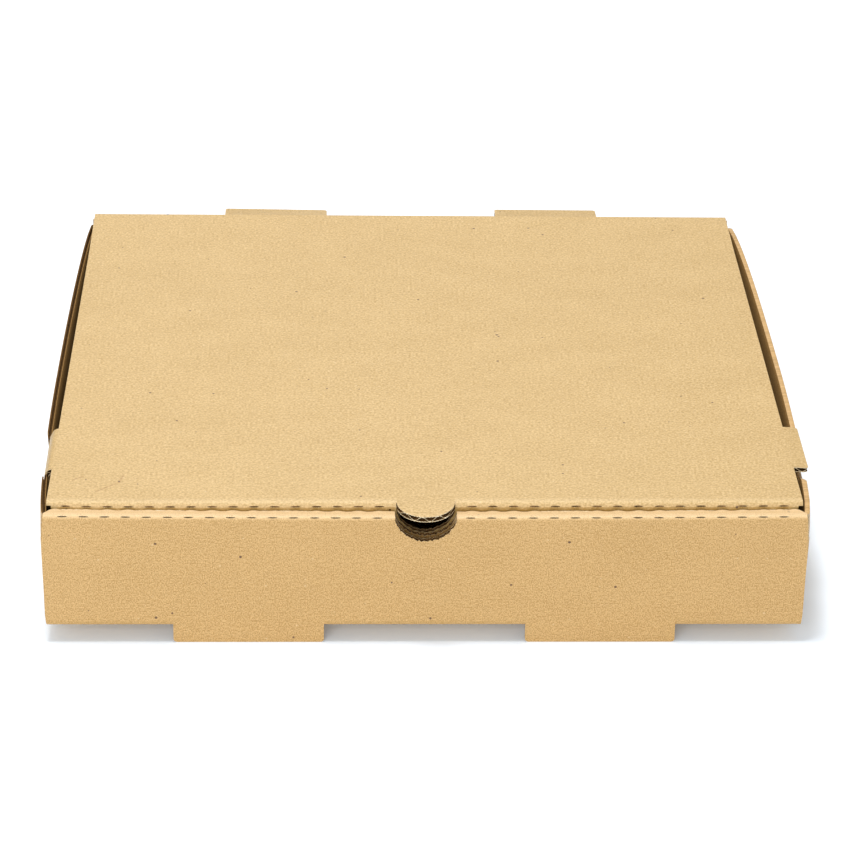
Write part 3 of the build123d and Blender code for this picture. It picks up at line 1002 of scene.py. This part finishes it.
def makeLidPanel():
    shell = Shell()
    keys = [*mirrored([*tabEnds, thumbTabHalf]), *edgeKeys(-lidHalf, lidHalf)]
    u = gridLines([*keys, *cutLines()], 12)
    v = gridLines([0, 0.5, 1.2, 2.4, thumbRow, *(lidArc[0] - np.array([3.2, 2, 1.1, 0.5])),
                   *np.linspace(lidArc[0], lidLine, 5)], 40)

    def bend(u, v):
        return squeezed(v, lidArc[0] - 1.1, lidLine, lidLine - cutOpening(u, perforation["lidGap"]))

    def closed(u, v):
        return v

    def keep(u, v):
        return ~((np.abs(u) < thumbTabHalf) & (v > thumbRow))

    boardSheet(shell, u, v, fluteLines(keys), bend, lidSurface, lidThickness, keep, bendInside=closed)

    # thumb tab: level, with a round front edge whose lower liner is left toothed by the cut
    tabStart = lidBack - thumbRow
    centre, thumbRadius = lidFront + lidShape["thumbSetback"], lidShape["thumbRadius"]
    tip = centre - thumbRadius
    rows = gridLines([*(tip + edgeRows), lidFront + 1, tabStart], 3)
    u = gridLines(roundKeys(-thumbTabHalf, thumbTabHalf, 60), 0.32)

    def thumbBend(u, v):
        along = np.arcsin(np.clip(u / thumbRadius, -1, 1)) * thumbRadius / lidShape["teeth"]
        radius = thumbRadius - lidShape["toothDepth"] * np.abs(np.sin(math.pi * along))
        return squeezed(v, tabStart, tip, centre - halfChord(radius, u))

    def thumbThick(u, v):
        edge = thumbRadius - np.hypot(u, v - centre)
        return board * pinched(np.where(v < lidFront, edge, thumbRadius), 0.03)

    boardSheet(shell, u, rows, u, thumbBend, thumbSurface, thumbThick)

    # back tabs: the lid's plane carried on past the fold
    for side in (-1, 1):
        middle, half = side * lidShape["tabMiddle"], lidShape["tabHalf"]
        end = yBack + lidShape["tabLength"]
        u = gridLines(cornerKeys(*spanAbout(middle, half), 3, 8), 12)
        rows = gridLines([lidBack, end - 3, *(end - edgeRows)], 3)

        def backBend(u, v):
            return squeezed(v, end - 3, end, end - roundedEnd(u - middle, half, lidShape["tabRound"]))

        def backThick(u, v):
            return board * pinched(half - np.abs(u - middle)) * pinched(end - v)

        def backSurface(u, v):
            # lifted a little, more towards its outer end on the left
            along = np.clip((v - lidBack) / lidShape["tabLength"], 0, 1)
            lean = 0.55 + 0.45 * np.clip((middle - u) / half, -1, 1) * (1 if side < 0 else 0.4)
            z = lidTop - lidSag(u, lidBack) * (1 - along) + lidShape["tabLift"] * along ** 1.5 * lean
            # the back tabs are painted a little darker, painted shade for their tilt away from the light
            return stacked(u, v, z), stacked(0 * u, 0, -1), stacked(u, v, 0), 0 * u - 0.35

        boardSheet(shell, u, rows, fluteLines([*u[:3], *u[-3:]]), backBend, backSurface, backThick)

    # side ears: the lid's plane bent down over its edge by an angle that grows along the ear
    for side, ear in lidShape["ears"].items():
        reach, curl = ear["reach"], ear["curl"]
        droop = math.radians(ear["droop"])
        front = lidFront + ear["front"]
        back = front + lidShape["earLength"]
        out = gridLines([0, 0.4, 0.9, 1.5, 2.2, 3, *(reach - edgeRows),
                         *(reach - ear["round"] * quarterSteps(7))], 0.8)
        rows = gridLines([*edgeKeys(front, back), front + 3, back - 3], 9)
        middle, half = (front + back) / 2, (back - front) / 2

        def earBend(u, v):
            return middle + (v - middle) * (1 - roundedEnd(u, reach, ear["round"]) / half)

        def earSurface(u, v):
            # heading turns evenly over the curl length, so the ear is an arc and then straight
            u = u * (1 + ear["flare"] * (v - front) / lidShape["earLength"])
            angle = droop * np.clip(u / curl, 0, 1)
            straight = np.clip(u - curl, 0, None)
            x = lidHalf + np.sin(angle) * curl / droop + straight * math.cos(droop)
            z = lidTop - (1 - np.cos(angle)) * curl / droop - straight * math.sin(droop)
            # the ear is painted darker as it turns down, painted shade on the face that turns away from the
            # light
            return (stacked(side * x, v, z), stacked(-side * np.sin(angle), 0, -np.cos(angle)),
                    stacked(side * (lidHalf + u), v, 0), -1.2 * np.sin(angle))

        def earThick(u, v):
            return board * pinched(reach - u) * pinched(np.minimum(v - front, back - v))

        boardSheet(shell, out, rows, fluteLines([0, reach], 14), earBend, earSurface, earThick)
    return makePiece("lid_panel", shell, lidFinishes)


def makeLidFlap():
    shell = Shell()
    half, hole = lidShape["flapHalf"], lidShape["flapHole"]
    keys = [*edgeKeys(-half, half), -hole, hole]
    corners = cornerKeys(-half, half, 2 * lidShape["flapRound"], 14)
    u = gridLines([*keys, *roundKeys(-hole, hole, 36), *cutLines(), *corners], 12)
    holeRow, roundRow = lidLine + 1.5 * hole, lidEnd - lidShape["flapRound"] - 1
    v = gridLines([*np.linspace(lidLine, lidArc[1], 5), *(lidArc[1] + np.array([0.4, 0.9, 1.5, 2.3, 3.3])),
                   holeRow, roundRow, *(lidEnd - edgeRows)], 9)

    def holeDrop(u):
        # a half circle with a torn edge
        torn = 0.25 * np.sin(2.3 * u) + 0.15 * np.sin(5.9 * u + 1)
        return np.where(np.abs(u) < hole, halfChord(hole, u) + 0.2 + torn, 0)

    def closed(u, v, gap=0.0):
        lower = squeezed(v, roundRow, lidEnd, lidEnd - roundedEnd(u, half, lidShape["flapRound"]))
        return squeezed(lower, holeRow, lidLine, lidLine + gap + holeDrop(u))

    def bend(u, v):
        return closed(u, v, cutOpening(u, perforation["lidGap"]))

    def surface(u, s):
        points, normals, blank, wearAndPaintedLight = lidSurface(u, s)
        taper = lidShape["flapTaper"] * np.clip((s - lidLine) / lidShape["flapDepth"], 0, 1)
        points[..., 0] = u * (1 - taper / half)
        return points, normals, blank, wearAndPaintedLight

    def thickness(u, s):
        return swell(awayFrom(s, lidArc)) * pinched(half - np.abs(u)) * pinched(lidEnd - s)

    boardSheet(shell, u, v, fluteLines(keys), bend, surface, thickness, bendInside=closed)
    return makePiece("lid_tuck_flap", shell, lidFinishes)


def makeHingeFold():
    # the crushed board that joins lid and back wall beside the tabs: an arc between two short flats
    shell = Shell()
    corners = [(yBack, wallEnd), (yBack, lidTop), (lidBack, lidTop)]
    place, _, end = foldPath(corners, [lidShape["hingeRadius"]])
    inner, outer = tabEnds[0] - lidShape["tabSlit"], tabEnds[1] + lidShape["tabSlit"]
    for low, high in ((-lidHalf, -outer), (-inner, inner), (outer, lidHalf)):
        u, s = np.meshgrid(gridLines([low, high], 6), np.linspace(0, end, 11), indexing="ij")
        y, z, ny, nz = place(s)
        points = stacked(u, y, z - lidSag(u, lidBack) * s / end)
        inward = stacked(0 * u, ny, nz) * boardStock["hingeThick"]
        shell.skin(points, points + inward, keepAll(u[1:, 1:], s), stacked(u, s, 0), 0 * u + 0.6,
                   ("kraft", "inside", "cutEdge"))
    return makePiece("hinge_fold", shell, finishes)


print("building the tray")
trayPieces = [makeTrayFloor(), makeTrayRoll(), makeTraySides()]
for piece in trayPieces:
    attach(piece, "tray")
    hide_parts("tray")

print("building the lid")
lidPieces = [makeLidPanel(), makeLidFlap()]
for piece in lidPieces:
    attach(piece, "lid")
    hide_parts("lid")

# the hinge fold is built in place, and its ends at the wall's top and at the lid where its back stands lowest
# are worked out
hingeFold = makeHingeFold()
leastRise = lidShape["rise"][0] - lidShape["rise"][1]
foldLow = toRow(np.array([0.0, yBack, wallEnd]))
foldHigh = toRow(np.array([0.0, lidBack, lidTop + leastRise]))
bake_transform(hingeFold)


studio = {
    "floor": (0.80, 0.87, 0.95),
    "floorGlow": 0.11,
    "floorSize": 8.0,
    "world": 0.55,
    "lightAim": (0.0, 0.0, 0.02),
    "lights": {
        "key_light": {"power": 21.5, "place": (-0.17, -0.13, 1.9), "size": 0.4},
        "back_light": {"power": 15.0, "place": (-0.25, 1.50, 1.80), "size": 1.4},
        "front_light": {"power": 19.0, "place": (-0.5, -1.9, 0.8), "size": 1.2},
    },
}

cameraSet = {
    "elevation": 26.766,
    "turn": -1.6916,
    "roll": 0.8230,
    "distance": 1.53393,
    "lens": 143.504,
    "aim": (0.003767, 0.0, 0.017740),
}


def makeFloor():
    material = bpy.data.materials.new("studio_floor")
    material.use_nodes = True
    feed(material.node_tree, material.node_tree.nodes["Principled BSDF"], {
        "Base Color": (*studio["floor"], 1), "Roughness": 0.9, "Specular IOR Level": 0.1,
        "Emission Color": (1, 1, 1, 1), "Emission Strength": studio["floorGlow"]})
    half = studio["floorSize"] / 2
    mesh = bpy.data.meshes.new("studio_floor")
    corners = [(-half, -half, 0), (half, -half, 0), (half, half, 0), (-half, half, 0)]
    mesh.from_pydata(corners, [], [(0, 1, 2, 3)])
    mesh.materials.append(material)
    floor = addObject("studio_floor", mesh)


def areaLight(name, power, place, size):
    lamp = bpy.data.lights.new(name, "AREA")
    lamp.energy = power
    lamp.size = size
    light = addObject(name, lamp)
    light.location = place
    light.rotation_euler = (Vector(studio["lightAim"]) - Vector(place)).to_track_quat("-Z", "Y").to_euler()


def makeStudio():
    world = bpy.data.worlds.new("studio_world")
    bpy.context.scene.world = world
    world.use_nodes = True
    feed(world.node_tree, world.node_tree.nodes["Background"],
         {"Color": (1, 1, 1, 1), "Strength": studio["world"]})
    for name, lamp in studio["lights"].items():
        areaLight(name, lamp["power"], lamp["place"], lamp["size"])
    bpy.context.scene.view_settings.view_transform = "Standard"


def makeCamera():
    up, turn, roll = (math.radians(cameraSet[k]) for k in ("elevation", "turn", "roll"))
    forward = Vector((-math.sin(turn) * math.cos(up), math.cos(turn) * math.cos(up), -math.sin(up)))
    level = Vector((math.cos(turn), math.sin(turn), 0))
    rise = level.cross(forward)
    right = level * math.cos(roll) + rise * math.sin(roll)
    top = rise * math.cos(roll) - level * math.sin(roll)
    data = bpy.data.cameras.new("camera")
    data.lens = cameraSet["lens"]
    data.sensor_width = 36.0
    camera = addObject("camera", data)
    place = Vector(cameraSet["aim"]) - forward * cameraSet["distance"]
    camera.matrix_world = Matrix((
        (right.x, top.x, -forward.x, place.x),
        (right.y, top.y, -forward.y, place.y),
        (right.z, top.z, -forward.z, place.z),
        (0, 0, 0, 1)))
    bpy.context.scene.camera = camera


makeFloor()
makeStudio()
makeCamera()
print("studio made")
